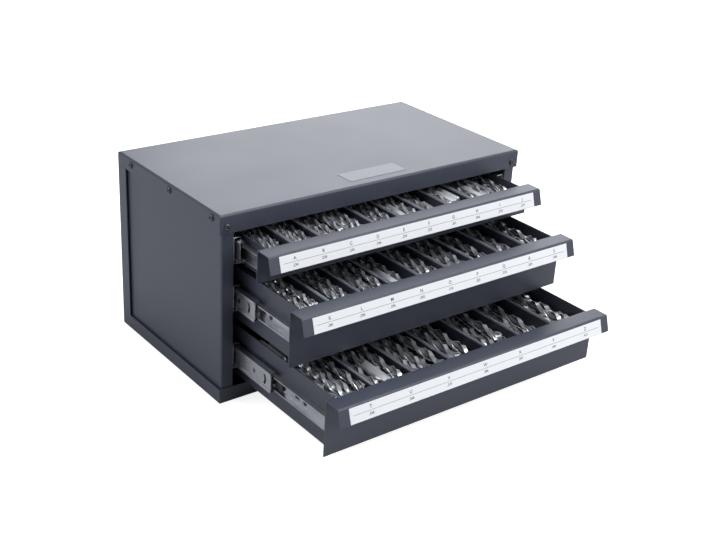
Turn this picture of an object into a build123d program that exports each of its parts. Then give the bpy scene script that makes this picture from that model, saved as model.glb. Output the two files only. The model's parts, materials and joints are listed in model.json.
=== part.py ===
from build123d import *
import os
from math import atan2, pi, tan

# A drill bit drawer case: a sheet steel case with three drawers on three-member
# ball slides, one compartment for each letter drill size from A to Z.
# Millimetres. +Z is up and the drawers open towards -Y. The origin is the centre
# of the case's footprint, on the underside of its base.

# --- the case ---
case_width = 372.0
case_depth = 199.0
case_height = 197.0
case_sheet = 1.2
case_bend = 2.2  # outside radius of the folds of the cover and the wrap
header_height = 19.0  # front flange of the cover, above the drawers
cover_flange = 14.0  # side and rear flanges of the cover
base_flange = 16.0  # front and side flanges of the wrap, along the floor
rear_flange = 15.5  # side flanges of the wrap, up the back
seam_gap = 0.3  # between the cover's flanges and the wrap's
tongue_overlap = 8.0  # how far the wrap's tongue laps both the back and the cover
tongue_gap = 0.4  # from the tongue's ends to the side panels' rear edges
side_recess = 2.5  # the side panels sit in from the faces of the flanges
fit_gap = 0.1  # between sheets that are fastened flat together
hem_height = 9.0  # folded edges that pack the side panels out to the flanges
panel_bend = 1.8  # outside radius of the folds of the side panels and posts
panel_return = 12.0  # rear edge of a side panel, folded in against the back
stile_width = 16.5  # from the side of the case to the opening for the drawers
lip_depth = 24.0  # how far a stile's lip runs back into the case
post_width = 24.0
post_foot = 8.0
post_inset = 32.0  # from the rear ends of the outer rails to the posts' middle

# --- screws; small round features are kept to few sides ---
head_sides = 12
shank_sides = 8  # and of the holes around the shanks
screw_radius = 1.5
screw_length = 7.0
screw_head_radius = 3.6
screw_head_height = 1.8
screw_hole_gap = 0.15
front_side_screw = 14.5  # from the front of the case to its first side screw
rear_side_screw = 27.5  # from the back of the case to its last side screw
side_screw_drop = 6.5  # below the top of the case
front_screw_inset = 8.0  # from the side of the case
front_screw_drop = 12.5

# --- drawers ---
drawer_sheet = 1.0
tray_rear_room = 12.4  # behind the tray of a closed drawer
tray_bend = 1.8  # outside radius of the tray's corners
tray_drop = 1.5  # the tray's top edge lies below the top of its front
tray_rise = 0.6  # the tray's underside lies above the lower edge of its front
front_side_gap = 1.0  # from either end of a front to the stiles
front_bend = 2.0
pull_reach = 18.7  # from the back of the front to the nose of the pull
pull_face = 17.0  # height of the face that carries the label
pull_lean = 4.9  # the foot of that face stands further out than its top
label_inset = 10.5  # from either end of the front to the label
label_thickness = 0.3
label_margin = 0.4  # bare edge above and below the label
low_front_height = 33.2  # of the top drawer; the other two share what is left
header_gap = 4.5  # between the highest front and the header
front_gap = 4.0  # between one front and the next
bottom_gap = 1.5  # under the lowest front
top_opened = 37.1  # how far each drawer stands open
middle_opened = 90.7
bottom_opened = 148.5
partition_sheet = 0.8
partition_drop = 1.5  # below the tray's top edge

# --- drill bits: the letter sizes A to Z, in inches ---
inch = 25.4
letter_sizes = [
    [0.234, 0.238, 0.242, 0.246, 0.250, 0.257, 0.261, 0.266, 0.272, 0.277],
    [0.281, 0.290, 0.295, 0.302, 0.316, 0.323, 0.332, 0.339, 0.348],
    [0.358, 0.368, 0.377, 0.386, 0.397, 0.404, 0.413],
]
shortest_bit = 98.4  # length of size A
length_per_diameter = 7.7  # what each further mm of diameter adds to the length
point_angle = 118.0
chisel_width = 0.16  # of the flat across the point, as a share of the diameter
bits_across = 3
bit_sides = 6
bit_setback = 12.0  # from the tray's front wall to the nearest bit
bit_stagger = 9.0  # from one place where a bit may start to the next
stagger_places = 3

# --- slides, a left and a right one to each drawer ---
slide_depth = 11.0  # from the outer rail's seat to the tray
rail_rear_room = 16.2  # behind the outer rails
rail_setback = 1.2  # the rails start this far behind the closed fronts
middle_setback = 12.0  # the middle rail starts this far behind the outer one
slide_rise = 0.8  # the slide's centre line lies above the middle of the front
rail_sheet = 1.0
outer_rail_height = 26.8
middle_rail_height = 20.4
inner_rail_height = 14.0
bead_depth = 0.8  # beads along the middle rail's web stand out this far
bead_height = 2.4
middle_reach = 8.2  # from the outer rail's seat to the middle rail's edges
inner_reach = 5.9  # depth of the inner rail, from the tray outwards
ball_radius = 1.0
ball_sides = 6
ball_taper = 30.0  # each half of a ball is a six-sided frustum
ball_gap = 0.1
ball_row = 6.4  # from the outer rail's seat to the rows of balls
ball_pitch = 44.0
balls_per_row = 2
curl_angle = 15.0  # how far the outer rail's edges curl past the balls
cage_sheet = 0.5
cage_gap = 0.3  # between a ball cage and the webs beside it
cage_length = 64.0
middle_share = 1 / 2  # of the drawer's travel, which the middle rail follows
outer_cage_share = 1 / 4
inner_cage_share = 3 / 4
outer_cage_setback = 56.0  # from the outer rail's front end, drawer closed
inner_cage_setback = 56.0  # from the middle rail's front end, drawer closed
middle_hole_radius = 2.5
middle_hole_setback = 28.0
latch_setback = 8.0  # of the curved cut at the middle rail's front end
latch_radius = 9.0
latch_sweep = 80.0
latch_width = 2.8
rail_screw_radius = 1.5
rail_screw_head_radius = 2.6
rail_screw_head = 0.8
inner_screw_setback = 41.0  # from either end of the inner rail to its screw
slot_setback = 53.0  # from the inner rail's front end to its spare slot
slot_length = 7.0
slot_width = 3.4

# --- release levers, in the channels of the inner rails ---
lever_setback = 74.0  # from the inner rail's front end to the lever's tip
lever_length = 32.0
lever_height = 5.0
lever_thickness = 2.4
lever_gap = 0.15
lever_tip_height = 8.0
lever_tip_length = 7.0
lever_pin_radius = 1.2
lever_pin_gap = 0.08
lever_pin_end = 0.4  # how far the pin stands out of its lever

# --- what follows from those sizes ---
front_plane = -case_depth / 2
rear_plane = case_depth / 2
flange_inside = case_width / 2 - case_sheet
side_face = case_width / 2 - side_recess
side_inside = side_face - case_sheet
panel_bottom = case_bend  # clear of the folds of the wrap and the cover
panel_top = case_height - case_bend
post_top = case_height - header_height  # clear of the cover's screws
stile_plane = front_plane + case_sheet + fit_gap
return_plane = rear_plane - case_sheet - fit_gap
wrap_top = case_height - cover_flange - seam_gap
closed_front = stile_plane + drawer_sheet  # back of a front, drawer closed
rail_start = closed_front + rail_setback
rail_length = return_plane - rail_rear_room - rail_start
seat = case_width / 2 - stile_width  # the outer rails lie on the lips and posts here
tray_width = 2 * (seat - slide_depth)
tray_depth = return_plane - tray_rear_room - closed_front
front_width = 2 * (seat - front_side_gap)
label_width = front_width - 2 * label_inset
middle_length = rail_length - middle_setback
outer_ball_row = outer_rail_height / 2 - rail_sheet - ball_gap - ball_radius
inner_ball_row = inner_rail_height / 2 + ball_gap + ball_radius
outer_cage_web = rail_sheet + cage_gap
middle_bead = outer_cage_web + cage_sheet + cage_gap
middle_web = middle_bead + bead_depth
inner_cage_web = middle_web + rail_sheet + cage_gap
web_face = tray_width / 2 + rail_sheet  # of the inner rail, inside its channel
tray_inside = tray_width - 2 * drawer_sheet
pull_drop = (pull_face**2 - pull_lean**2) ** 0.5

opening_height = case_height - header_height - base_flange
front_room = opening_height - header_gap - 2 * front_gap - bottom_gap
tall_front_height = (front_room - low_front_height) / 2
front_heights = [low_front_height, tall_front_height, tall_front_height]
opened_by = [top_opened, middle_opened, bottom_opened]
front_bottoms = []
lower_edge = base_flange + bottom_gap
for front_height in reversed(front_heights):
    front_bottoms.insert(0, lower_edge)
    lower_edge += front_height + front_gap


def folded_sheet(plane, points, thickness, side, radius=0):
    # a folded sheet seen on edge: the line of one of its faces is given its
    # thickness to one side; a fold that shows has an outside radius
    with BuildSketch(plane) as profile:
        with BuildLine():
            if radius:
                FilletPolyline(*points, radius=radius)
            else:
                Polyline(*points)
            offset(amount=thickness, side=side, kind=Kind.INTERSECTION)
        make_face()
    return profile.sketch


def slide_section(y, height):
    # a section of a right-hand slide, at y: u runs inwards from the outer rail's
    # seat, v runs up from the slide's centre line, and lengths run back
    return Plane(origin=(seat, y, height), x_dir=(-1, 0, 0), z_dir=(0, 1, 0))


def mirrored(piece):
    with BuildPart() as other_side:
        mirror(piece.part, about=Plane.YZ)
    return other_side


def save(piece, name):
    piece.part.label = name
    export_step(piece.part, f"parts/{name}.step")


os.makedirs("parts", exist_ok=True)

first_screw = front_plane + front_side_screw
last_screw = rear_plane - rear_side_screw
side_screws = [
    (y, case_height - side_screw_drop)
    for y in (first_screw, (first_screw + last_screw) / 2, last_screw)
]
front_screws = [
    (side * (case_width / 2 - front_screw_inset), case_height - front_screw_drop)
    for side in (-1, 1)
]

# --- cover: a shallow pan turned over, with its side and rear flanges trimmed ---
with BuildPart() as top_cover:
    with BuildSketch(Plane.XY.offset(case_height - header_height)):
        Rectangle(case_width, case_depth)
    extrude(amount=header_height)
    fillet(top_cover.faces().sort_by(Axis.Z)[-1].edges(), radius=case_bend)
    offset(amount=-case_sheet, openings=top_cover.faces().sort_by(Axis.Z)[0])
    with BuildSketch(Plane.XY.offset(case_height - header_height)):
        with Locations((0, case_sheet)):
            Rectangle(case_width, case_depth)
    extrude(amount=header_height - cover_flange, mode=Mode.SUBTRACT)
    with BuildSketch(Plane.YZ):
        with Locations(*side_screws):
            RegularPolygon(screw_radius + screw_hole_gap, shank_sides)
    extrude(amount=case_width, both=True, mode=Mode.SUBTRACT)
    with BuildSketch(Plane.XZ.offset(-stile_plane)):
        with Locations(*front_screws):
            RegularPolygon(screw_radius + screw_hole_gap, shank_sides)
    extrude(amount=screw_length, mode=Mode.SUBTRACT)
save(top_cover, "top_cover")

# --- wrap: floor and back in one folded sheet, with flanges on floor and back ---
with BuildPart() as wrap:
    with BuildSketch():
        Rectangle(case_width, case_depth)
    extrude(amount=wrap_top)
    fillet(wrap.faces().sort_by(Axis.Z)[0].edges(), radius=case_bend)
    offset(amount=-case_sheet, openings=wrap.faces().sort_by(Axis.Z)[-1])
    with BuildSketch(Plane.XY.offset(base_flange)):
        with Locations((0, -rear_flange)):
            Rectangle(case_width, case_depth)
    extrude(amount=wrap_top, mode=Mode.SUBTRACT)
    # a tongue inside the back reaches up behind the cover's rear flange
    with BuildSketch(Plane.XY.offset(wrap_top - tongue_overlap)):
        with Locations((0, rear_plane - 1.5 * case_sheet)):
            Rectangle(2 * (side_face - panel_return - tongue_gap), case_sheet)
    extrude(amount=2 * tongue_overlap)
save(wrap, "back_and_base_wrap")

# --- side panels: folded round the stile and its lip in front, returned behind ---
panel_plan = folded_sheet(
    Plane.XY.offset(panel_bottom),
    [
        (side_face - panel_return, return_plane),
        (side_face, return_plane),
        (side_face, stile_plane),
        (seat, stile_plane),
        (seat, stile_plane + lip_depth),
    ],
    case_sheet,
    Side.RIGHT,
    panel_bend,
)
hem_front = stile_plane + panel_bend
hem_rear = rear_plane - case_bend
with BuildPart() as right_side_panel:
    extrude(panel_plan, amount=panel_top - panel_bottom)
    # hems along the bottom, the back and the top fill out to the flanges
    with BuildSketch(Plane.YZ.offset(side_face)):
        with BuildLine():
            Polyline(
                (hem_front, panel_bottom),
                (hem_rear, panel_bottom),
                (hem_rear, panel_top),
                (hem_front, panel_top),
                (hem_front, panel_top - hem_height),
                (hem_rear - hem_height, panel_top - hem_height),
                (hem_rear - hem_height, panel_bottom + hem_height),
                (hem_front, panel_bottom + hem_height),
                close=True,
            )
        make_face()
    extrude(amount=flange_inside - fit_gap - side_face)
    with BuildSketch(Plane.YZ.offset(side_face)):
        with Locations(*side_screws):
            RegularPolygon(screw_radius + screw_hole_gap, shank_sides)
    extrude(amount=screw_length, both=True, mode=Mode.SUBTRACT)
    with BuildSketch(Plane.XZ.offset(-stile_plane)):
        with Locations(front_screws[-1]):
            RegularPolygon(screw_radius + screw_hole_gap, shank_sides)
    extrude(amount=screw_length, both=True, mode=Mode.SUBTRACT)
save(right_side_panel, "right_side_panel")
save(mirrored(right_side_panel), "left_side_panel")

# --- rear posts: hat sections that carry the rear ends of the outer rails ---
post_centre = rail_start + rail_length - post_inset
post_front = post_centre - post_width / 2
post_rear = post_centre + post_width / 2
post_plan = folded_sheet(
    Plane.XY.offset(case_sheet),
    [
        (side_inside, post_front - post_foot),
        (side_inside, post_front),
        (seat + case_sheet, post_front),
        (seat + case_sheet, post_rear),
        (side_inside, post_rear),
        (side_inside, post_rear + post_foot),
    ],
    case_sheet,
    Side.LEFT,
)
with BuildPart() as right_rear_post:
    extrude(post_plan, amount=post_top - case_sheet)
save(right_rear_post, "right_rear_post")
save(mirrored(right_rear_post), "left_rear_post")

# --- cover screws: pan heads, three to a side and one through each stile ---
with BuildPart() as pan_screw:
    with BuildSketch():
        RegularPolygon(screw_head_radius, head_sides)
    extrude(amount=screw_head_height)
    with BuildSketch():
        RegularPolygon(screw_radius, shank_sides)
    extrude(amount=-screw_length)

with BuildPart() as cover_screws:
    for y, z in side_screws:
        with Locations(
            Location((case_width / 2, y, z), (0, 90, 0)),
            Location((-case_width / 2, y, z), (0, -90, 0)),
        ):
            add(pan_screw.part)
    for x, z in front_screws:
        with Locations(Location((x, front_plane, z), (90, 0, 0))):
            add(pan_screw.part)
save(cover_screws, "cover_screws")


# --- slides: a function for a rail makes the right-hand one ---
def outer_rail(height):
    # a channel seated on the lip and the post; its edges curl round the balls
    half = outer_rail_height / 2
    curl = ball_radius + ball_gap + rail_sheet
    with BuildPart() as rail:
        with BuildSketch(slide_section(rail_start, height)):
            with BuildLine():
                CenterArc((ball_row, outer_ball_row), curl, -curl_angle, 90 + curl_angle)
                Polyline((ball_row, half), (0, half), (0, -half), (ball_row, -half))
                CenterArc((ball_row, -outer_ball_row), curl, -90, 90 + curl_angle)
                offset(amount=rail_sheet, side=Side.LEFT, kind=Kind.INTERSECTION)
            make_face()
        extrude(amount=rail_length)
    return rail


def middle_rail(y, height):
    # a channel whose web is stepped in between two beads
    half = middle_rail_height / 2
    web_half = half - bead_height
    section = folded_sheet(
        slide_section(y, height),
        [
            (middle_reach, half),
            (middle_bead, half),
            (middle_bead, web_half),
            (middle_web, web_half),
            (middle_web, -web_half),
            (middle_bead, -web_half),
            (middle_bead, -half),
            (middle_reach, -half),
        ],
        rail_sheet,
        Side.LEFT,
    )
    with BuildPart() as rail:
        extrude(section, amount=middle_length)
        # a round hole, and a curved cut that leaves a springy tongue in the web
        with BuildSketch(Plane.YZ.offset(seat)):
            with Locations((y + middle_hole_setback, height)):
                RegularPolygon(middle_hole_radius, head_sides)
            with BuildLine():
                CenterArc(
                    (y + latch_setback + latch_radius, height),
                    latch_radius,
                    180 - latch_sweep / 2,
                    latch_sweep,
                )
                offset(amount=latch_width, side=Side.LEFT)
            make_face()
        extrude(amount=-middle_reach, mode=Mode.SUBTRACT)
    return rail


def inner_rail(y, height):
    half = inner_rail_height / 2
    section = folded_sheet(
        slide_section(y, height),
        [
            (slide_depth - inner_reach, half),
            (slide_depth, half),
            (slide_depth, -half),
            (slide_depth - inner_reach, -half),
        ],
        rail_sheet,
        Side.RIGHT,
    )
    with BuildPart() as rail:
        extrude(section, amount=rail_length)
        with BuildSketch(Plane.YZ.offset(web_face)):
            with Locations(*inner_screws(y, height)):
                RegularPolygon(rail_screw_radius + screw_hole_gap, shank_sides)
            with Locations((y + slot_setback, height)):
                Rectangle(slot_length, slot_width)
        extrude(amount=-rail_sheet, mode=Mode.SUBTRACT)
        with BuildSketch(Plane.YZ.offset(web_face)):
            with Locations(lever_pin(y, height)):
                RegularPolygon(lever_pin_radius, shank_sides)
        extrude(amount=lever_gap + lever_thickness + lever_pin_end)
    return rail


def inner_screws(y, height):
    # where the screws pass through an inner rail into the tray
    return [
        (y + inner_screw_setback, height),
        (y + rail_length - inner_screw_setback, height),
    ]


def lever_pin(y, height):
    return (y + lever_setback + lever_length / 2, height)


def cages(y, height, web, row):
    # channels with a square pocket for each ball in both of their edges
    edge = row + cage_sheet / 2
    with BuildPart() as channel:
        with BuildSketch(slide_section(y, height)):
            with BuildLine():
                Polyline((ball_row, edge), (web, edge), (web, -edge), (ball_row, -edge))
                offset(amount=cage_sheet, side=Side.LEFT, kind=Kind.INTERSECTION)
            make_face()
        extrude(amount=cage_length)
        with BuildSketch(Plane.XY.offset(height)):
            with Locations(*[(seat - ball_row, place) for place in ball_places(y)]):
                Rectangle(2 * (ball_radius + ball_gap), 2 * (ball_radius + ball_gap))
        extrude(amount=outer_rail_height, both=True, mode=Mode.SUBTRACT)
        mirror(about=Plane.YZ)
    return channel


def ball_places(y):
    # along a cage that starts at y
    span = ball_pitch * (balls_per_row - 1)
    first = y + (cage_length - span) / 2
    return [first + i * ball_pitch for i in range(balls_per_row)]


with BuildPart() as ball:
    with BuildSketch():
        RegularPolygon(ball_radius, ball_sides)
    extrude(amount=ball_radius, taper=ball_taper)
    mirror(about=Plane.XY)


def balls(y, height, row):
    with BuildPart() as rows:
        for place in ball_places(y):
            with Locations(
                (seat - ball_row, place, height + row),
                (seat - ball_row, place, height - row),
            ):
                add(ball.part)
        mirror(about=Plane.YZ)
    return rows


def release_levers(y, height):
    # a bar with a taller tip in front, free to tilt on the inner rail's pin
    pin_y, pin_z = lever_pin(y, height)
    tip_y = y + lever_setback
    with BuildPart() as levers:
        with BuildSketch(Plane.YZ.offset(web_face + lever_gap)):
            with Locations((tip_y + lever_length / 2, height)):
                Rectangle(lever_length, lever_height)
            with Locations((tip_y + lever_tip_length / 2, height)):
                Rectangle(lever_tip_length, lever_tip_height)
            with Locations((pin_y, pin_z)):
                RegularPolygon(
                    lever_pin_radius + lever_pin_gap,
                    shank_sides,
                    major_radius=False,
                    mode=Mode.SUBTRACT,
                )
        extrude(amount=lever_thickness)
        mirror(about=Plane.YZ)
    return levers


def inner_rail_screws(y, height):
    # heads against the rails' webs, ends flush with the inside of the tray
    with BuildPart() as screws:
        with BuildSketch(Plane.YZ.offset(web_face)):
            with Locations(*inner_screws(y, height)):
                RegularPolygon(rail_screw_head_radius, head_sides)
        extrude(amount=rail_screw_head)
        with BuildSketch(Plane.YZ.offset(web_face)):
            with Locations(*inner_screws(y, height)):
                RegularPolygon(rail_screw_radius, shank_sides)
        extrude(amount=-rail_sheet - drawer_sheet)
        mirror(about=Plane.YZ)
    return screws


# --- drawers: back is the y of the back of the drawer's front ---
def tray(back, bottom, top, screws):
    with BuildPart() as pan:
        with BuildSketch(Plane.XY.offset(bottom)):
            with Locations((0, back + tray_depth / 2)):
                Rectangle(tray_width, tray_depth)
        extrude(amount=top - bottom)
        side_folds = pan.faces().sort_by(Axis.Z)[0].edges().filter_by(Axis.Y)
        fillet(side_folds, radius=tray_bend)
        offset(amount=-drawer_sheet, openings=pan.faces().sort_by(Axis.Z)[-1])
        with BuildSketch(Plane.YZ):
            with Locations(*screws):
                RegularPolygon(rail_screw_radius + screw_hole_gap, shank_sides)
        extrude(amount=tray_width, both=True, mode=Mode.SUBTRACT)
    return pan


def drawer_front(back, bottom, top):
    # folded forward along its top, then down again to make the pull
    nose = back - pull_reach
    profile = folded_sheet(
        Plane.YZ.offset(-front_width / 2),
        [
            (back, bottom),
            (back, top),
            (nose, top),
            (nose - pull_lean, top - pull_drop),
        ],
        drawer_sheet,
        Side.LEFT,
        front_bend,
    )
    with BuildPart() as front:
        extrude(profile, amount=front_width)
    return front


def label(back, top):
    # lies on the face of the pull, below the fold at its nose
    fold_end = front_bend * tan(atan2(pull_drop, pull_lean) / 2)
    label_height = pull_face - fold_end - 2 * label_margin
    pull_plane = Plane(
        origin=(0, back - pull_reach, top),
        x_dir=(1, 0, 0),
        z_dir=(0, -pull_drop, pull_lean),
    )
    with BuildPart() as strip:
        with BuildSketch(pull_plane):
            with Locations((0, -fold_end - label_margin - label_height / 2)):
                Rectangle(label_width, label_height)
        extrude(amount=label_thickness)
    return strip


def partitions(back, floor, top, compartments):
    # sheets on edge, from the tray's front wall to its rear one
    pitch = tray_inside / compartments
    with BuildPart() as sheets:
        with BuildSketch(Plane.XY.offset(floor)):
            with Locations((0, back + tray_depth / 2)):
                with GridLocations(pitch, 0, compartments - 1, 1):
                    Rectangle(partition_sheet, tray_depth - 2 * drawer_sheet)
        extrude(amount=top - floor)
    return sheets


def drill_bit(diameter):
    # stands on its shank, with its point up
    flare = tan(point_angle / 2 * pi / 180)
    point_length = diameter / 2 * (1 - chisel_width) / flare
    first_diameter = letter_sizes[0][0] * inch
    length = shortest_bit + length_per_diameter * (diameter - first_diameter)
    with BuildPart() as bit:
        with BuildSketch():
            RegularPolygon(diameter / 2, bit_sides, major_radius=False)
        extrude(amount=length - point_length)
        with BuildSketch(Plane.XY.offset(length - point_length)):
            RegularPolygon(diameter / 2, bit_sides, major_radius=False)
        extrude(amount=point_length, taper=point_angle / 2)
    return bit, length


def drill_bits(back, floor, sizes):
    # laid on a flat on the tray's floor, every other one turned end for end
    near = back + drawer_sheet + bit_setback
    pitch = tray_inside / len(sizes)
    spacing = (pitch - partition_sheet) / bits_across
    compartment = [drill_bit(size * inch) for size in sizes]
    with BuildPart() as heap:
        for i, size in enumerate(sizes):
            bit, length = compartment[i]
            start = i * pitch - tray_inside / 2 + partition_sheet / 2
            for j in range(bits_across):
                x = start + (j + 0.5) * spacing
                y = near + bit_stagger * ((2 * i + j) % stagger_places)
                z = floor + size * inch / 2
                place = Location((x, y + length, z), (90, 0, 0))
                if (i + j) % 2:
                    place = Location((x, y, z), (-90, 0, 0))
                with Locations(place):
                    add(bit.part)
    return heap


for i, opened in enumerate(opened_by):
    name = f"drawer_{i + 1}"
    back = closed_front - opened
    bottom = front_bottoms[i]
    top = bottom + front_heights[i]
    tray_bottom = bottom + tray_rise
    tray_top = top - tray_drop
    floor = tray_bottom + drawer_sheet
    height = bottom + front_heights[i] / 2 + slide_rise
    inner_start = rail_start - opened
    middle_start = rail_start + middle_setback - middle_share * opened
    outer_cage_start = rail_start + outer_cage_setback - outer_cage_share * opened
    inner_cage_start = rail_start + middle_setback + inner_cage_setback
    inner_cage_start -= inner_cage_share * opened

    save(tray(back, tray_bottom, tray_top, inner_screws(inner_start, height)), f"{name}_tray")
    save(drawer_front(back, bottom, top), f"{name}_front")
    save(label(back, top), f"{name}_label")
    save(
        partitions(back, floor, tray_top - partition_drop, len(letter_sizes[i])),
        f"{name}_partitions",
    )
    save(drill_bits(back, floor, letter_sizes[i]), f"{name}_drill_bits")

    slide_rails = {
        "outer_rail": outer_rail(height),
        "middle_rail": middle_rail(middle_start, height),
        "inner_rail": inner_rail(inner_start, height),
    }
    for rail_name, rail in slide_rails.items():
        save(rail, f"{name}_right_{rail_name}")
        save(mirrored(rail), f"{name}_left_{rail_name}")

    outer_cages = cages(outer_cage_start, height, outer_cage_web, outer_ball_row)
    inner_cages = cages(inner_cage_start, height, inner_cage_web, inner_ball_row)
    save(outer_cages, f"{name}_outer_cages")
    save(inner_cages, f"{name}_inner_cages")
    save(balls(outer_cage_start, height, outer_ball_row), f"{name}_outer_balls")
    save(balls(inner_cage_start, height, inner_ball_row), f"{name}_inner_balls")
    save(inner_rail_screws(inner_start, height), f"{name}_inner_screws")
    save(release_levers(inner_start, height), f"{name}_release_levers")
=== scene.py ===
import json
import math
import bpy
import numpy as np
from mathutils import Matrix, Vector


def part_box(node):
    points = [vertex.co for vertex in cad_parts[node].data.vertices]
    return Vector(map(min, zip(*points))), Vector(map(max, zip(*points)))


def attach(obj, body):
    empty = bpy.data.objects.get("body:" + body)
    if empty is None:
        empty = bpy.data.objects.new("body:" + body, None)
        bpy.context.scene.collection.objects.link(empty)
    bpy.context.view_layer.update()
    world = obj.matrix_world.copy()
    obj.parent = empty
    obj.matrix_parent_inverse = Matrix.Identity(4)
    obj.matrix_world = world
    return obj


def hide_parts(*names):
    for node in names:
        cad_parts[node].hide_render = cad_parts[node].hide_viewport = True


# Drill bit drawer case: sheet steel in satin enamel, three drawers on zinc-plated ball slides,
# and a heap of twist drills in each compartment. Everything is in metres, in the frame's own place.

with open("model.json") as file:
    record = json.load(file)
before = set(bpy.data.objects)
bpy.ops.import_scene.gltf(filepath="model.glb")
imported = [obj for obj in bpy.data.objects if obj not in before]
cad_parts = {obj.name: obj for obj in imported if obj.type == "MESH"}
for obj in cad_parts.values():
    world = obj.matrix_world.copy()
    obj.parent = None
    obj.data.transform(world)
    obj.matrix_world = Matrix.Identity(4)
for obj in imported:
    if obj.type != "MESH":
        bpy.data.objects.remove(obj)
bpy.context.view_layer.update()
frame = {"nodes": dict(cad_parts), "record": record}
nodes = frame["nodes"]
mm = 0.001
drawerNumbers = (1, 2, 3)
print("frame loaded:", len(nodes), "nodes")


# sRGB hex to linear RGBA: c / 12.92 below 0.04045, else ((c + 0.055) / 1.055) ** 2.4
def linear(hexColour):
    srgb = [int(hexColour[i:i + 2], 16) / 255 for i in (1, 3, 5)]
    return [c / 12.92 if c <= 0.04045 else ((c + 0.055) / 1.055) ** 2.4 for c in srgb] + [1.0]


# one node with its settings; a socket takes a plain value or another node's output
def addNode(tree, kind, sockets=None, **settings):
    node = tree.nodes.new(kind)
    for name, value in settings.items():
        setattr(node, name, value)
    for name, value in (sockets or {}).items():
        if isinstance(value, bpy.types.NodeSocket):
            tree.links.new(value, node.inputs[name])
        else:
            node.inputs[name].default_value = value
    return node


# an empty material, ready for a shader
def newMaterial(name):
    material = bpy.data.materials.new(name)
    material.use_nodes = True
    material.node_tree.nodes.clear()
    return material, material.node_tree


# joins shader to the material's output
def closeMaterial(tree, shader):
    addNode(tree, "ShaderNodeOutputMaterial", {"Surface": shader.outputs[0]})


# object coordinates in metres, stretched by stretch along X, Y and Z
def objectPlace(tree, stretch=(1, 1, 1)):
    place = addNode(tree, "ShaderNodeTexCoord")
    mapping = addNode(tree, "ShaderNodeMapping", {"Vector": place.outputs["Object"], "Scale": stretch})
    return mapping.outputs[0]


# the first colour turns into the second as share goes from 0 to 1; the colour sockets of a mix node
# have the same names as its other ones, so they go by number
def mixColours(tree, share, first, second):
    return addNode(tree, "ShaderNodeMix", {"Factor": share, 6: first, 7: second}, data_type="RGBA").outputs[2]


# maps a 0..1 output to low..high
def ranged(tree, value, low, high):
    return addNode(tree, "ShaderNodeMapRange", {"Value": value, "To Min": low, "To Max": high}).outputs[0]


# a mesh object from points and faces, flat or smooth shaded, that rides on body
def addPiece(name, points, faces, material, body, smooth=False):
    mesh = bpy.data.meshes.new(name)
    mesh.from_pydata(np.asarray(points, float).tolist(), [], [list(map(int, f)) for f in faces])
    mesh.materials.append(material)
    mesh.polygons.foreach_set("use_smooth", np.full(len(mesh.polygons), smooth))
    mesh.update()
    piece = bpy.data.objects.new(name, mesh)
    bpy.context.scene.collection.objects.link(piece)
    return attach(piece, body)


# faces of a closed tube of rings with ringSize points each: quads join point k of one ring to the next,
# and the last two faces close the first and the last ring
def tubeFaces(rings, ringSize):
    ring, k = np.meshgrid(np.arange(rings - 1), np.arange(ringSize), indexing="ij")
    after = (k + 1) % ringSize
    a = ring * ringSize + k
    b = ring * ringSize + after
    sides = np.stack([a, b, b + ringSize, a + ringSize], -1).reshape(-1, 4).tolist()
    last = (rings - 1) * ringSize
    return sides + [list(range(ringSize))[::-1], list(range(last, last + ringSize))]


# a surface of revolution about Z: x = r cos(a), y = r sin(a), z = h for the profile's rings (r, h). Its first
# and last entries are poles on the axis, and fans of triangles to them take the place of the end faces
def revolve(profile, sides):
    profile = np.asarray(profile, float)
    angle = np.arange(sides) * 2 * math.pi / sides
    radius, height = profile[1:-1, 0, None], profile[1:-1, 1, None]
    rings = np.stack([radius * np.cos(angle), radius * np.sin(angle), height + 0 * angle], -1).reshape(-1, 3)
    points = np.concatenate([rings, [[0, 0, profile[0, 1]], [0, 0, profile[-1, 1]]]])
    faces = tubeFaces(len(profile) - 2, sides)[:-2]
    k = np.arange(sides)
    after = (k + 1) % sides
    lastRing = (len(profile) - 3) * sides
    faces += np.stack([np.full(sides, len(rings)), after, k], -1).tolist()
    faces += np.stack([np.full(sides, len(rings) + 1), lastRing + k, lastRing + after], -1).tolist()
    return points, faces


# lowest and highest corner of each separate solid of a CAD node: points within 0.01 mm are one point,
# and the smallest number among a triangle's points spreads until every solid has a single number
def solidBoxes(node):
    mesh = nodes[node].data
    places = np.empty(len(mesh.vertices) * 3)
    mesh.vertices.foreach_get("co", places)
    merged, owner = np.unique(np.round(places.reshape(-1, 3), 5), axis=0, return_inverse=True)
    corners = np.empty(len(mesh.loops), int)
    mesh.loops.foreach_get("vertex_index", corners)
    triangles = owner.reshape(-1)[corners].reshape(-1, 3)
    number = np.arange(len(merged))
    while True:
        spread = number.copy()
        np.minimum.at(spread, triangles, spread[triangles].min(1)[:, None])
        if (spread == number).all():
            break
        number = spread
    return [(merged[number == k].min(0), merged[number == k].max(0)) for k in np.unique(number)]


nearlyUpright = 0.9   # an axis with more Z than this is crossed with X instead of Z


# points turned so that their Z axis lies along axis, spun about it, and moved to place
def aimed(points, axis, spin, place):
    axis = np.asarray(axis, float) / np.linalg.norm(axis)
    side = np.cross(axis, (0.0, 0.0, 1.0) if abs(axis[2]) < nearlyUpright else (1.0, 0.0, 0.0))
    side /= np.linalg.norm(side)
    across = side * math.cos(spin) + np.cross(side, axis) * math.sin(spin)
    return points @ np.stack([across, np.cross(axis, across), axis]) + place


# several surfaces as the points and faces of one mesh
def joined(surfaces):
    points, faces, start = [], [], 0
    for surfacePoints, surfaceFaces in surfaces:
        points.append(surfacePoints)
        faces += [[start + i for i in face] for face in surfaceFaces]
        start += len(surfacePoints)
    return np.concatenate(points), faces


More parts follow.
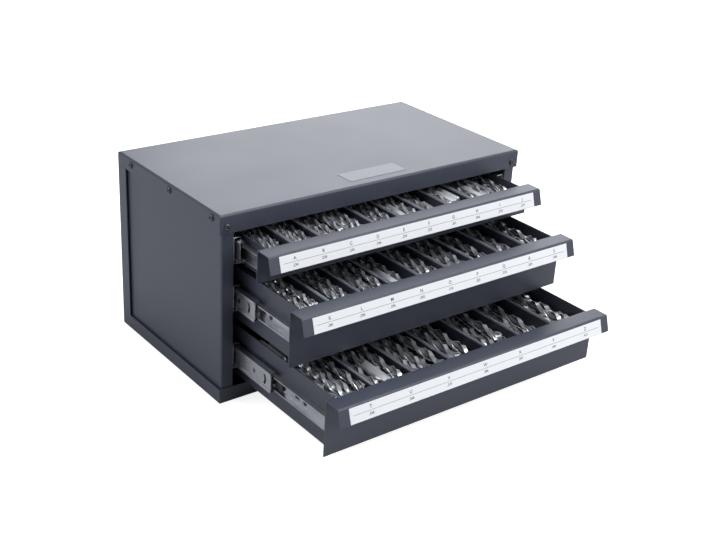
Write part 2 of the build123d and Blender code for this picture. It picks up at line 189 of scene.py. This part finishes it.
enamel = {
    "caseLow": "#363a47", "caseHigh": "#3c404d",    # blue-grey, with a faint cloudiness
    "trayLow": "#343844", "trayHigh": "#3a3e4a",
    # folded hems: a pale colour that paints in the highlight along each partition's top
    "hemHighlightLow": "#a4a7b0", "hemHighlightHigh": "#b8bbc4",
    "roughLow": 0.38, "roughHigh": 0.46, "ior": 1.5,
    "cloud": 60, "peel": 1.4, "peelDepth": 0.012,   # mm: width of clouds and of orange peel, and its depth
}


# sprayed and baked satin enamel: a soft broad sheen with a fine orange peel in it
def enamelMaterial(name, low, high):
    material, tree = newMaterial(name)
    place = objectPlace(tree)
    cloud = addNode(tree, "ShaderNodeTexNoise", {
        "Vector": place, "Scale": 1 / (enamel["cloud"] * mm), "Detail": 3})
    peel = addNode(tree, "ShaderNodeTexNoise", {
        "Vector": place, "Scale": 1 / (enamel["peel"] * mm), "Detail": 2})
    bump = addNode(tree, "ShaderNodeBump", {
        "Height": peel.outputs[0], "Distance": enamel["peelDepth"] * mm, "Strength": 1.0})
    shader = addNode(tree, "ShaderNodeBsdfPrincipled", {
        "Base Color": mixColours(tree, cloud.outputs[0], linear(low), linear(high)),
        "Roughness": ranged(tree, cloud.outputs[0], enamel["roughLow"], enamel["roughHigh"]),
        "IOR": enamel["ior"], "Normal": bump.outputs[0]})
    closeMaterial(tree, shader)
    return material


zinc = {
    "low": "#8f9196", "high": "#c2c4c9", "roughLow": 0.24, "roughHigh": 0.42,
    "streak": 0.5, "streakLength": 14, "depth": 0.004,   # mm: width, length and depth of the drawn streaks
}


# bright zinc plate on rolled strip: clear metal with faint streaks drawn along the rail
def zincMaterial(name):
    material, tree = newMaterial(name)
    across = 1 / (zinc["streak"] * mm)
    along = 1 / (zinc["streakLength"] * mm)
    streak = addNode(tree, "ShaderNodeTexNoise", {
        "Vector": objectPlace(tree, (across, along, across)), "Scale": 1.0, "Detail": 2})
    bump = addNode(tree, "ShaderNodeBump", {"Height": streak.outputs[0], "Distance": zinc["depth"] * mm})
    shader = addNode(tree, "ShaderNodeBsdfPrincipled", {
        "Base Color": mixColours(tree, streak.outputs[0], linear(zinc["low"]), linear(zinc["high"])),
        "Metallic": 1.0,
        "Roughness": ranged(tree, streak.outputs[0], zinc["roughLow"], zinc["roughHigh"]),
        "Normal": bump.outputs[0]})
    closeMaterial(tree, shader)
    return material


drillSteel = {
    # colour from a land (0) to the bottom of a flute (1), with painted light: a white painted highlight near
    # the land's edge, painted shade on the flute walls and a pale painted reflection down each flute
    "glintAndShadeBands": ((0.0, "#eeeff2"), (0.1, "#ffffff"), (0.18, "#e2e3e7"), (0.27, "#33353a"), (0.6, "#2c2e33"),
              (0.72, "#b4b6bb"), (0.84, "#b4b6bb"), (1.0, "#3a3c41")),
    "dull": "#a6a8ad", "dullest": 0.5,             # colour of worn steel, and its share in the dullest bit
    "grain": 0.35, "depth": 0.003,                 # mm
    "roughLow": 0.26, "roughHigh": 0.42, "metallic": 0.7,
}


# ground high speed steel with painted light: lands painted bright with a painted highlight at their edges,
# flutes painted dark as shade with one pale painted reflection line down each, and bits from keen and shiny to
# worn and dull, so that no two look quite alike
def drillSteelMaterial(name):
    material, tree = newMaterial(name)
    flute = addNode(tree, "ShaderNodeAttribute", attribute_name="flute")
    tone = addNode(tree, "ShaderNodeAttribute", attribute_name="tone")
    grain = addNode(tree, "ShaderNodeTexNoise", {
        "Vector": objectPlace(tree), "Scale": 1 / (drillSteel["grain"] * mm), "Detail": 1})
    # this ramp paints highlights and shade across each bit's section, following the flute attribute
    glintAndShadeBands = addNode(tree, "ShaderNodeValToRGB", {"Fac": flute.outputs["Fac"]})
    ramp = glintAndShadeBands.color_ramp.elements
    while len(ramp) < len(drillSteel["glintAndShadeBands"]):
        ramp.new(0.5)
    for element, (place, colour) in zip(ramp, drillSteel["glintAndShadeBands"]):
        element.position = place
        element.color = linear(colour)
    dulled = ranged(tree, tone.outputs["Fac"], 0, drillSteel["dullest"])
    colour = mixColours(tree, dulled, glintAndShadeBands.outputs[0], linear(drillSteel["dull"]))
    bump = addNode(tree, "ShaderNodeBump", {"Height": grain.outputs[0], "Distance": drillSteel["depth"] * mm})
    shader = addNode(tree, "ShaderNodeBsdfPrincipled", {
        "Base Color": colour, "Metallic": drillSteel["metallic"],
        "Roughness": ranged(tree, tone.outputs["Fac"], drillSteel["roughLow"], drillSteel["roughHigh"]),
        "Normal": bump.outputs[0]})
    closeMaterial(tree, shader)
    return material


roughSpread = 0.05   # how far a plain surface's roughness strays to either side


# a plain surface with a fine noise in its colour, roughness and height; grain and depth in mm
def plainMaterial(name, low, high, grain, roughness, depth, metallic=0.0):
    material, tree = newMaterial(name)
    noise = addNode(tree, "ShaderNodeTexNoise", {
        "Vector": objectPlace(tree), "Scale": 1 / (grain * mm), "Detail": 2})
    bump = addNode(tree, "ShaderNodeBump", {"Height": noise.outputs[0], "Distance": depth * mm})
    shader = addNode(tree, "ShaderNodeBsdfPrincipled", {
        "Base Color": mixColours(tree, noise.outputs[0], linear(low), linear(high)), "Metallic": metallic,
        "Roughness": ranged(tree, noise.outputs[0], roughness - roughSpread, roughness + roughSpread),
        "Normal": bump.outputs[0]})
    closeMaterial(tree, shader)
    return material


caseEnamel = enamelMaterial("satin blue-grey enamel", enamel["caseLow"], enamel["caseHigh"])
trayEnamel = enamelMaterial("satin blue-grey enamel on trays", enamel["trayLow"], enamel["trayHigh"])
# painted highlight: a pale enamel that stands in for the light caught along each partition's folded hem, so
# that it shows as a light line
hemHighlightEnamel = enamelMaterial("enamel painted pale as a highlight on folded hems", enamel["hemHighlightLow"], enamel["hemHighlightHigh"])
zincPlate = zincMaterial("bright zinc plate")
bitSteel = drillSteelMaterial("ground high speed steel")
# a thin coat over black steel: darker than the case, with a small hard glint on the head
screwEnamel = plainMaterial("blackened screw, enamelled over", "#2b2e38", "#373a46",
                            grain=0.8, roughness=0.3, depth=0.01)
# hardened and polished: reflects the slide round it almost like a mirror
ballSteel = plainMaterial("polished ball steel", "#d2d3d6", "#dcdde0",
                          grain=0.4, roughness=0.12, depth=0.001, metallic=1.0)
# printed film: even white with next to no gloss
labelFilm = plainMaterial("matt white label film", "#e6e7e9", "#ecedee",
                          grain=0.9, roughness=0.7, depth=0.004)
# dark grey ink, a little glossier than the film that it is printed on
labelInk = plainMaterial("grey printing ink", "#3e3f45", "#48494f",
                         grain=0.5, roughness=0.5, depth=0.002)
# chemical black: nearly no colour, a soft oily gloss
blackScrew = plainMaterial("black oxide screw", "#161719", "#1f2023",
                           grain=0.3, roughness=0.35, depth=0.003)
# moulded: dull black with a fine spark-eroded grain
blackPlastic = plainMaterial("moulded black acetal", "#111214", "#191a1c",
                             grain=0.6, roughness=0.45, depth=0.006)
# thin satin film, a little lighter than the enamel that it lies on
plateFoil = plainMaterial("satin grey foil", "#5c5e67", "#656770",
                          grain=0.5, roughness=0.42, depth=0.003)

slotMaterials = {
    "case_paint": caseEnamel, "tray_paint": trayEnamel, "zinc_plate": zincPlate, "case_screw": screwEnamel,
    "black_screw": blackScrew, "ball_steel": ballSteel, "drill_steel": bitSteel, "label_card": labelFilm,
    "black_plastic": blackPlastic,
}
for part in frame["record"]["subparts"]:
    materials = nodes[part["node"]].data.materials
    materials.clear()
    materials.append(slotMaterials[part["material_slot"]])
print("finishes made:", len(slotMaterials))


bitHeap = {
    "depths": {1: 29.6, 2: 52, 3: 52},             # mm: how high the bits of a drawer may be heaped
    "most": {1: 40, 2: 44, 3: 40},                 # bits in a compartment at most
    "inches": {
        1: (.234, .238, .242, .246, .250, .257, .261, .266, .272, .277),
        2: (.281, .290, .295, .302, .316, .323, .332, .339, .348),
        3: (.358, .368, .377, .386, .397, .404, .413),
    },
    "inch": 25.4, "shortest": 98.4,                # mm: an inch, and the smallest bit's jobber length
    "perDiameter": 7.7,                            # mm of length for each mm that a bit is thicker than that
    "seed": 26, "tries": 400,                      # places tried for each bit
    "stations": 12,                                # points along a bit where its support is felt for
    "yaw": 1.1, "crossing": 5,                     # degrees out of line, of most bits and of crossing ones
    "crossed": 0.12,                               # share of the crossing ones
    "untidy": 0.2,                                 # radii by which a bit may miss the lowest place
    "nest": 0.92,                                  # diameters between axes of bits that touch: flutes nest
    "sheet": 1.0, "clear": 0.5, "partition": 0.8,  # mm: tray wall, room left to it, and partition
    "setback": 2.2,                                # mm: mean distance to the front wall
    "strays": 3,                                   # the first bits laid, which lie anywhere along the tray
    "shankFirst": 0.05,                            # share of the bits that lie the other way round
}
bitForm = {
    "landAngles": (-27, 27, 90, 153, 207, 270),    # degrees round the section, two lands and two flutes
    "landRadii": (1, 1, 0.42, 1, 1, 0.42),         # shares of the radius
    "helix": 30, "ringTurn": 66,                   # degrees: of the flutes, and from ring to ring
    "fluteShare": 0.68, "point": 0.3,              # fluted share of the length; point's height in diameters
    "chisel": 0.12, "chamfer": 0.15,               # blunt end of the point, chamfer of the shank, in radii
}


# Bits are laid one after another. A bit is tried at many places in the box, turned a little. Each point
# along it would rest on the floor, or on a bit below at that bit's height + sqrt(t^2 - d^2), where the axes
# pass d apart in plan and t apart in space. It rests on the two such points, one each side of its middle,
# whose line is highest at the middle. Of all the tries that stay under the limit, about the lowest is kept.
# Returns the two ends of each bit's axis.
def layBits(random, low, high, limit, radius, length, most):
    share = np.linspace(0, 1, bitHeap["stations"])
    before, behind = np.meshgrid(share[share < 0.5], share[share > 0.5], indexing="ij")
    half = bitHeap["stations"] // 2
    touch = bitHeap["nest"] * 2 * radius
    laid = np.empty((0, 2, 3))
    while len(laid) < most:
        spread = bitHeap["crossing"] if random.random() < bitHeap["crossed"] else bitHeap["yaw"]
        yaw = np.radians(random.normal(0, spread, bitHeap["tries"]))
        steepest = (high[0] - low[0] - 2 * radius) / length
        lean = np.clip(np.sin(yaw), -steepest, steepest) * length / 2
        reach = np.sqrt((length / 2) ** 2 - lean ** 2)
        room = high[1] - low[1] - 2 * radius - 2 * reach
        gap = np.minimum(random.exponential(bitHeap["setback"] * mm, bitHeap["tries"]), room)
        if len(laid) < bitHeap["strays"]:
            gap = random.random(bitHeap["tries"]) * room
        side = low[0] + radius + abs(lean) + random.random(bitHeap["tries"]) * (
            high[0] - low[0] - 2 * radius - 2 * abs(lean))
        middle = np.stack([side, low[1] + radius + gap + reach], -1)
        aim = np.stack([lean, reach], -1)
        stations = middle[:, None] + (2 * share - 1)[None, :, None] * aim[:, None]
        rest = np.full(stations.shape[:2], low[2] + radius)
        if len(laid):
            start, line = laid[:, 0], laid[:, 1] - laid[:, 0]
            apart = stations[:, :, None] - start[:, :2]
            along = np.clip((apart * line[:, :2]).sum(-1) / (line[:, :2] ** 2).sum(-1), 0, 1)
            distance = np.linalg.norm(apart - along[..., None] * line[:, :2], axis=-1)
            over = start[:, 2] + along * line[:, 2] + np.sqrt(np.maximum(touch ** 2 - distance ** 2, 0))
            rest = np.maximum(rest, np.where(distance < touch, over, 0).max(-1))
        slope = (rest[:, None, half:] - rest[:, :half, None]) / (behind - before)
        height = rest[:, :half, None] + slope * (0.5 - before)
        pair = height.reshape(len(height), -1).argmax(-1)
        height = height.reshape(len(height), -1)[np.arange(len(height)), pair]
        slope = slope.reshape(len(slope), -1)[np.arange(len(slope)), pair]
        fits = height + abs(slope) / 2 + radius < limit
        if not fits.any():
            break
        cost = np.where(fits, height + random.random(len(height)) * bitHeap["untidy"] * radius, np.inf)
        k = cost.argmin()
        offset = np.array([lean[k], reach[k], slope[k] / 2])
        offset *= length / 2 / np.linalg.norm(offset)
        centre = np.array([*middle[k], height[k]])
        laid = np.concatenate([laid, [[centre - offset, centre + offset]]])
    return laid


# One bit is a section of six points carried along its axis: the flutes turn by
# 2 tan(helix) / diameter * distance and run out over one radius, the shank is the same ring at full radius,
# and flat faces close both ends. Returns points, faces and 1 for each point at the bottom of a flute, else 0.
def bitSurface(radius, length):
    angles = np.radians(bitForm["landAngles"])
    radii = np.array(bitForm["landRadii"], float)
    fluted = length * bitForm["fluteShare"]
    turn = 2 * math.tan(math.radians(bitForm["helix"])) / (2 * radius) * fluted
    rings = int(round(turn / math.radians(bitForm["ringTurn"]))) + 1
    tip = bitForm["point"] * 2 * radius
    shank = [fluted + radius, length - bitForm["chamfer"] * radius, length]
    z = np.concatenate([[0.0], np.linspace(tip, fluted, rings), shank])
    share = np.concatenate([[bitForm["chisel"]], np.ones(rings), [1.0, 1.0, 1 - bitForm["chamfer"]]])
    flute = np.concatenate([[1.0], np.ones(rings), [0.0, 0.0, 0.0]])
    twist = turn * np.clip(z, 0, fluted) / fluted
    ringRadii = radius * share[:, None] * (flute[:, None] * radii + (1 - flute[:, None]))
    theta = angles + twist[:, None]
    points = np.stack([ringRadii * np.cos(theta), ringRadii * np.sin(theta),
                       np.broadcast_to(z[:, None], theta.shape)], -1).reshape(-1, 3)
    depth = (flute[:, None] * (radii < 1)).reshape(-1)
    return points, tubeFaces(len(z), len(angles)), depth


# every bit of a drawer in one mesh, most of them with their points to the front
def buildBits(number):
    random = np.random.default_rng(bitHeap["seed"] + number)
    trayLow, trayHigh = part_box(f"drawer_{number}_tray")
    floor = trayLow.z + bitHeap["sheet"] * mm
    inches = bitHeap["inches"][number]
    left = trayLow.x + bitHeap["sheet"] * mm
    pitch = (trayHigh.x - trayLow.x - 2 * bitHeap["sheet"] * mm) / len(inches)
    wall = (bitHeap["partition"] / 2 + bitHeap["clear"]) * mm
    ends = (bitHeap["sheet"] + bitHeap["clear"]) * mm
    surfaces, flutes, tones = [], [], []
    for k, inch in enumerate(inches):
        radius = inch * bitHeap["inch"] / 2 * mm
        growth = (inch - bitHeap["inches"][1][0]) * bitHeap["inch"] * bitHeap["perDiameter"]
        length = (bitHeap["shortest"] + growth) * mm
        low = (left + k * pitch + wall, trayLow.y + ends, floor)
        high = (left + (k + 1) * pitch - wall, trayHigh.y - ends)
        laid = layBits(random, low, high, floor + bitHeap["depths"][number] * mm, radius, length,
                       bitHeap["most"][number])
        surface, faces, depth = bitSurface(radius, length)
        for front, rear in laid:
            first, last = (rear, front) if random.random() < bitHeap["shankFirst"] else (front, rear)
            spin = random.uniform(0, 2 * math.pi)
            surfaces.append((aimed(surface, last - first, spin, first), faces))
            flutes.append(depth)
            tones.append(np.full(len(depth), random.random()))
    points, faces = joined(surfaces)
    bits = addPiece(f"drawer_{number}_twist_drills", points, faces, bitSteel, f"drawer_{number}", smooth=True)
    for name, values in (("flute", flutes), ("tone", tones)):
        attribute = bits.data.attributes.new(name, "FLOAT", "POINT")
        attribute.data.foreach_set("value", np.concatenate(values).astype(np.float32))
    # the shading breaks along the edges of lands and shank, which run from ring to ring, and rounds the flutes
    edges = np.empty(len(bits.data.edges) * 2, int)
    bits.data.edges.foreach_get("vertices", edges)
    winding = abs(edges[::2] - edges[1::2]) == len(bitForm["landAngles"])
    winding &= np.concatenate(flutes)[edges[::2]] == 0
    bits.data.attributes.new("sharp_edge", "BOOLEAN", "EDGE").data.foreach_set("value", winding)
    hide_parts(f"drawer_{number}_drill_bits")
    top = (trayHigh.z - points[:, 2].max()) / mm
    print(f"drawer {number}: {len(tones)} bits, {len(faces)} faces, top {top:.1f} mm down")


for number in drawerNumbers:
    buildBits(number)


partitionHem = {
    "width": 1.7, "height": 2.6,                   # mm
    "steps": 5,                                    # points round the fold
}


# The sheet is folded over along a partition's top edge. Its section is a half round over two straight
# walls, closed below, and it is carried from the partition's rear end to its front end.
def buildHems(number):
    half = partitionHem["width"] / 2
    angle = np.linspace(0, math.pi, partitionHem["steps"])
    across = np.concatenate([[half], half * np.cos(angle), [-half]])
    down = np.concatenate([[partitionHem["height"]], half - half * np.sin(angle), [partitionHem["height"]]])
    surfaces = []
    for low, high in solidBoxes(f"drawer_{number}_partitions"):
        middle = (low[0] + high[0]) / 2
        ends = [np.stack([middle + across * mm, np.full(len(across), y), high[2] - down * mm], -1)
                for y in (high[1], low[1])]
        surfaces.append((np.concatenate(ends), tubeFaces(2, len(across))))
    points, faces = joined(surfaces)
    hems = addPiece(f"drawer_{number}_partition_hems", points, faces, hemHighlightEnamel, f"drawer_{number}")


for number in drawerNumbers:
    buildHems(number)
print("partition hems folded")


roundBall = {"radius": 1.0, "sides": 8, "rings": 6}   # radius in mm


# round balls at the places of the CAD ones: profile r sin(t), -r cos(t) for t from pole to pole
def buildBalls(number, row):
    t = np.linspace(0, math.pi, roundBall["rings"])
    radius = roundBall["radius"] * mm
    surface, faces = revolve(np.stack([radius * np.sin(t), -radius * np.cos(t)], -1), roundBall["sides"])
    node = f"drawer_{number}_{row}_balls"
    places = [(low + high) / 2 for low, high in solidBoxes(node)]
    points, allFaces = joined([(surface + place, faces) for place in places])
    balls = addPiece(f"drawer_{number}_{row}_round_balls", points, allFaces, ballSteel,
                     f"drawer_{number}_{row}_ball_cages", smooth=True)
    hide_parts(node)


for number in drawerNumbers:
    for row in ("outer", "inner"):
        buildBalls(number, row)
print("balls made")


caseScrew = {
    "head": 3.6, "headHeight": 1.8, "shank": 1.4, "length": 7.0,   # mm
    "armWidth": 0.85, "arm": 2.0, "recess": 1.0,                     # mm: cross recess
    "rings": 11, "sides": 32, "seed": 8,
}
railScrew = {
    "head": 2.6, "headHeight": 0.8, "shank": 1.4, "length": 1.9,
    "armWidth": 0.7, "arm": 1.5, "recess": 0.5, "rings": 9, "sides": 24, "seed": 9,
}
screwForm = {
    "rim": 0.35, "cutAbove": 0.5,   # shares of the head's height: upright rim, and where the cross ends
    "cutEdge": 1.4,                 # half arm widths from an arm's middle to where its sloping wall ends
}


# A pan head over a plain shank, pointing along Z with its seat at 0. The head is h (1 - (r / R)^4) ^ 0.5
# high at radius r, less the cross: recess * (cutEdge - nearer of |x| and |y| / half arm width), held within
# 0 and recess, for points no further out than the arms.
def screwSurface(sizes):
    radius = np.linspace(0, 1, sizes["rings"])[:-1] * sizes["head"]
    dome = sizes["headHeight"] * np.sqrt(1 - (radius / sizes["head"]) ** 4)
    rim = screwForm["rim"] * sizes["headHeight"]
    under = [(sizes["head"], rim), (sizes["head"], 0.0), (sizes["shank"], 0.0),
             (sizes["shank"], -sizes["length"]), (0.0, -sizes["length"])]
    profile = np.concatenate([np.stack([radius, dome], -1), under])
    points, faces = revolve(profile[::-1] * mm, sizes["sides"])
    x, y = abs(points[:, 0]) / mm, abs(points[:, 1]) / mm
    lowest = screwForm["cutAbove"] * sizes["headHeight"] * mm
    inside = (np.maximum(x, y) < sizes["arm"]) & (points[:, 2] > lowest)
    cut = np.clip(screwForm["cutEdge"] - np.minimum(x, y) / (sizes["armWidth"] / 2), 0, 1)
    points[:, 2] -= np.where(inside, sizes["recess"] * cut, 0) * mm
    return points, faces


# the cover's screws: each one points out of the face that its head stands on
def buildCaseScrews():
    random = np.random.default_rng(caseScrew["seed"])
    surface, faces = screwSurface(caseScrew)
    surfaces = []
    for low, high in solidBoxes("cover_screws"):
        place = (low + high) / 2
        size = high - low
        if size[0] > size[1]:
            axis = np.array([math.copysign(1, place[0]), 0, 0])
            place[0] = (high if axis[0] > 0 else low)[0] - axis[0] * caseScrew["headHeight"] * mm
        else:
            axis = np.array([0, -1, 0])
            place[1] = low[1] + caseScrew["headHeight"] * mm
        surfaces.append((aimed(surface, axis, random.uniform(0, math.pi), place), faces))
    points, allFaces = joined(surfaces)
    screws = addPiece("cover_pan_head_screws", points, allFaces, screwEnamel, "cabinet", smooth=True)
    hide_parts("cover_screws")
    return len(surfaces)


# the screws in the inner rails: they point away from the tray
def buildRailScrews(number):
    random = np.random.default_rng(railScrew["seed"] + number)
    surface, faces = screwSurface(railScrew)
    surfaces = []
    for low, high in solidBoxes(f"drawer_{number}_inner_screws"):
        place = (low + high) / 2
        outward = math.copysign(1, place[0])
        place[0] = (high if outward > 0 else low)[0] - outward * railScrew["headHeight"] * mm
        surfaces.append((aimed(surface, (outward, 0, 0), random.uniform(0, math.pi), place), faces))
    points, allFaces = joined(surfaces)
    screws = addPiece(f"drawer_{number}_rail_screws", points, allFaces, blackScrew,
                      f"drawer_{number}", smooth=True)
    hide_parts(f"drawer_{number}_inner_screws")


print("cover screws:", buildCaseScrews())
for number in drawerNumbers:
    buildRailScrews(number)


topPlate = {
    "middle": (4.5, -76.5), "size": (70, 22.5), "corner": 1.2,   # mm
    "thickness": 0.25, "edge": 0.1,                              # mm
    "cornerSteps": 5,
}


# a bare plate: its outline, a rectangle with round corners, is carried up the wall and over the edge,
# inset by 0, 0 and edge at heights 0, thickness - edge and thickness
def buildPlate():
    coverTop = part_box("top_cover")[1].z
    turn = np.linspace(0, math.pi / 2, topPlate["cornerSteps"])
    width, depth = topPlate["size"]
    wall = topPlate["thickness"] - topPlate["edge"]
    rings = []
    for inset, height in ((0, 0), (0, wall), (topPlate["edge"], topPlate["thickness"])):
        corner = topPlate["corner"] - inset
        outline = []
        for k, (sideX, sideY) in enumerate(((1, 1), (-1, 1), (-1, -1), (1, -1))):
            angle = turn + k * math.pi / 2
            outline.append(np.stack([
                topPlate["middle"][0] + sideX * (width / 2 - topPlate["corner"]) + corner * np.cos(angle),
                topPlate["middle"][1] + sideY * (depth / 2 - topPlate["corner"]) + corner * np.sin(angle),
                np.full(len(angle), coverTop / mm + height)], -1))
        rings.append(np.concatenate(outline))
    plate = addPiece("blank_top_plate", np.concatenate(rings) * mm,
                     tubeFaces(len(rings), len(rings[0])), plateFoil, "cabinet")


buildPlate()
print("plate laid")


labelPrint = {
    "letters": {1: "ABCDEFGHIJ", 2: "KLMNOPQRS", 3: "TUVWXYZ"},
    "letterHeight": 3.3, "numberHeight": 2.5,                 # mm: height of capitals and of figures
    "lift": 0.03,                                             # mm: the ink's own thickness
    "letterDown": 0.27, "lineDown": 0.5, "numberDown": 0.7,   # shares of the label's height, from its top
    "lineWidth": 0.3, "lineInset": 4, "bold": 0.07,           # mm
    "capital": 0.73, "curveSteps": 3,                         # a capital's height as a share of the font size
    "forwards": 0.5, "level": 0.999,                          # cosines: looks to the front, lies in one plane
}


# the outward face of a label: its middle, its directions to the right, up and outwards, and its size
def labelFace(number):
    mesh = nodes[f"drawer_{number}_label"].data
    face = max((p for p in mesh.polygons if p.normal.y < -labelPrint["forwards"]), key=lambda p: p.area)
    normal = face.normal.normalized()
    right = Vector((1, 0, 0))
    up = normal.cross(right).normalized()
    corners = [mesh.vertices[i].co for p in mesh.polygons
               if p.normal.dot(normal) > labelPrint["level"] for i in p.vertices]
    heights = [c.dot(up) for c in corners]
    sides = [c.x for c in corners]
    middleUp = (max(heights) + min(heights)) / 2
    middle = right * (max(sides) + min(sides)) / 2 + up * middleUp + normal * corners[0].dot(normal)
    return middle, right, up, normal, max(sides) - min(sides), max(heights) - min(heights)


# text made a mesh, centred on a place of the label, then laid in the label's plane
def printText(words, height, x, y, face):
    middle, right, up, normal = face[:4]
    curve = bpy.data.curves.new("words", "FONT")
    curve.body = words
    curve.size = height * mm / labelPrint["capital"]
    curve.offset = labelPrint["bold"] * mm
    curve.align_x = "CENTER"
    curve.resolution_u = labelPrint["curveSteps"]
    holder = bpy.data.objects.new("words", curve)
    bpy.context.scene.collection.objects.link(holder)
    bpy.context.view_layer.update()
    mesh = bpy.data.meshes.new_from_object(holder)
    bpy.data.objects.remove(holder)
    flat = np.empty(len(mesh.vertices) * 3)
    mesh.vertices.foreach_get("co", flat)
    flat = flat.reshape(-1, 3)
    flat[:, 0] += x
    flat[:, 1] += y - height * mm / 2
    faces = [list(p.vertices) for p in mesh.polygons]
    bpy.data.meshes.remove(mesh)
    origin = np.array(middle + normal * labelPrint["lift"] * mm)
    return origin + flat[:, :1] * np.array(right) + flat[:, 1:2] * np.array(up), faces


# letters over the mid line, sizes in inches under it, and the line itself as a thin strip
def buildPrint(number):
    face = labelFace(number)
    middle, right, up, normal, width, tall = face
    trayLow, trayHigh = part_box(f"drawer_{number}_tray")
    inches = bitHeap["inches"][number]
    inner = trayHigh.x - trayLow.x - 2 * bitHeap["sheet"] * mm
    surfaces = []
    for k, (letter, inch) in enumerate(zip(labelPrint["letters"][number], inches)):
        x = (k + 0.5) * inner / len(inches) - inner / 2
        size = f"{inch:.3f}".lstrip("0")
        for words, height, down in ((letter, labelPrint["letterHeight"], labelPrint["letterDown"]),
                                    (size, labelPrint["numberHeight"], labelPrint["numberDown"])):
            surfaces.append(printText(words, height, x, (0.5 - down) * tall, face))
    half = width / 2 - labelPrint["lineInset"] * mm
    lineUp = (0.5 - labelPrint["lineDown"]) * tall
    thick = labelPrint["lineWidth"] * mm / 2
    origin = middle + normal * labelPrint["lift"] * mm
    strip = np.array([origin + right * x + up * (lineUp + y)
                      for x, y in ((-half, -thick), (half, -thick), (half, thick), (-half, thick))])
    surfaces.append((strip, [[0, 1, 2, 3]]))
    points, faces = joined(surfaces)
    ink = addPiece(f"drawer_{number}_label_print", points, faces, labelInk, f"drawer_{number}")


for number in drawerNumbers:
    buildPrint(number)
print("labels printed")


studio = {
    "floorSize": 16, "floorColour": "#d0d1d3",
    "floorSeen": 0.85, "floorGloss": 0.1,           # glow added for camera rays and for gloss
    "paleFrom": 0.8, "whiteFrom": 2.6,              # m from the case, between which that glow grows to 1
    "worldLevel": 0.08, "worldGloss": 0.4, "lampTint": (0.955, 0.972, 1.0),
    "lamps": (
        # name, place and target in m, size in m, power in W
        ("rear softbox", (1.6, 1.9, 1.35), (0.0, 0.0, 0.1), 1.8, 33),
        ("left softbox", (-2.0, 0.9, 1.6), (0.0, 0.0, 0.1), 1.2, 31),
        ("top softbox", (0.3, -0.6, 2.3), (0.0, -0.1, 0.0), 1.2, 48),
        ("front softbox", (1.3, -2.2, 1.4), (0.0, -0.1, 0.1), 1.2, 35),
    ),
}
lens = {
    "place": (-0.68870, -0.93134, 0.60205),                # m
    "azimuth": -38.603, "down": 25.031, "roll": 3.307,     # degrees
    "focal": 58.72, "sensor": 36,                          # mm
}


# strength of a glow: always + toCamera for camera rays + toGloss for glossy rays
def seenGlow(tree, toCamera, toGloss, always=0.0):
    rays = addNode(tree, "ShaderNodeLightPath")
    camera = addNode(tree, "ShaderNodeMath", {
        0: rays.outputs["Is Camera Ray"], 1: toCamera, 2: always}, operation="MULTIPLY_ADD")
    gloss = addNode(tree, "ShaderNodeMath", {
        0: rays.outputs["Is Glossy Ray"], 1: toGloss, 2: camera.outputs[0]}, operation="MULTIPLY_ADD")
    return gloss.outputs[0]


# floor: pale card that keeps a faint shadow near the case, and shows white to the camera where it is
# fully lit or far away
def buildFloor():
    half = studio["floorSize"] / 2
    corners = [(-half, -half, 0), (half, -half, 0), (half, half, 0), (-half, half, 0)]
    mesh = bpy.data.meshes.new("floor")
    mesh.from_pydata(corners, [], [(0, 1, 2, 3)])
    material, tree = newMaterial("white paper sweep")
    paper = addNode(tree, "ShaderNodeBsdfDiffuse", {"Color": linear(studio["floorColour"])})
    away = addNode(tree, "ShaderNodeVectorMath", {0: objectPlace(tree)}, operation="LENGTH")
    glow = addNode(tree, "ShaderNodeMapRange", {
        "Value": away.outputs["Value"], "From Min": studio["paleFrom"], "From Max": studio["whiteFrom"],
        "To Min": studio["floorSeen"], "To Max": 1.0})
    light = addNode(tree, "ShaderNodeEmission", {
        "Color": (1, 1, 1, 1), "Strength": seenGlow(tree, glow.outputs[0], studio["floorGloss"])})
    both = addNode(tree, "ShaderNodeAddShader", {0: paper.outputs[0], 1: light.outputs[0]})
    closeMaterial(tree, both)
    mesh.materials.append(material)
    floor = bpy.data.objects.new("floor", mesh)
    bpy.context.scene.collection.objects.link(floor)


# world: an even pale room, seen as white by the camera and brighter by gloss
def buildWorld():
    world = bpy.data.worlds.new("pale room")
    bpy.context.scene.world = world
    world.use_nodes = True
    tree = world.node_tree
    tree.nodes.clear()
    level = studio["worldLevel"]
    room = addNode(tree, "ShaderNodeBackground", {
        "Color": (1, 1, 1, 1), "Strength": seenGlow(tree, 1 - level, studio["worldGloss"] - level, level)})
    addNode(tree, "ShaderNodeOutputWorld", {"Surface": room.outputs[0]})


# four large soft lamps, each turned to its target
def buildLamps():
    for name, place, target, size, power in studio["lamps"]:
        light = bpy.data.lights.new(name, "AREA")
        light.size = size
        light.energy = power
        light.color = studio["lampTint"]
        lamp = bpy.data.objects.new(name, light)
        lamp.location = place
        lamp.rotation_euler = (Vector(target) - Vector(place)).to_track_quat("-Z", "Y").to_euler()
        bpy.context.scene.collection.objects.link(lamp)


# the camera looks along (-sin a cos d, cos a cos d, -sin d), turned about that line by the roll
def buildCamera():
    azimuth, down, roll = (math.radians(lens[k]) for k in ("azimuth", "down", "roll"))
    ahead = Vector((-math.sin(azimuth) * math.cos(down), math.cos(azimuth) * math.cos(down), -math.sin(down)))
    level = ahead.cross(Vector((0, 0, 1))).normalized()
    over = level.cross(ahead)
    right = level * math.cos(roll) + over * math.sin(roll)
    up = over * math.cos(roll) - level * math.sin(roll)
    data = bpy.data.cameras.new("photograph view")
    data.sensor_width = lens["sensor"]
    data.lens = lens["focal"]
    camera = bpy.data.objects.new("photograph view", data)
    turned = Matrix((right, up, -ahead)).transposed().to_4x4()
    camera.matrix_world = Matrix.Translation(lens["place"]) @ turned
    bpy.context.scene.collection.objects.link(camera)
    bpy.context.scene.camera = camera


buildFloor()
buildWorld()
buildLamps()
buildCamera()
bpy.context.scene.view_settings.view_transform = "Standard"
print("studio set")
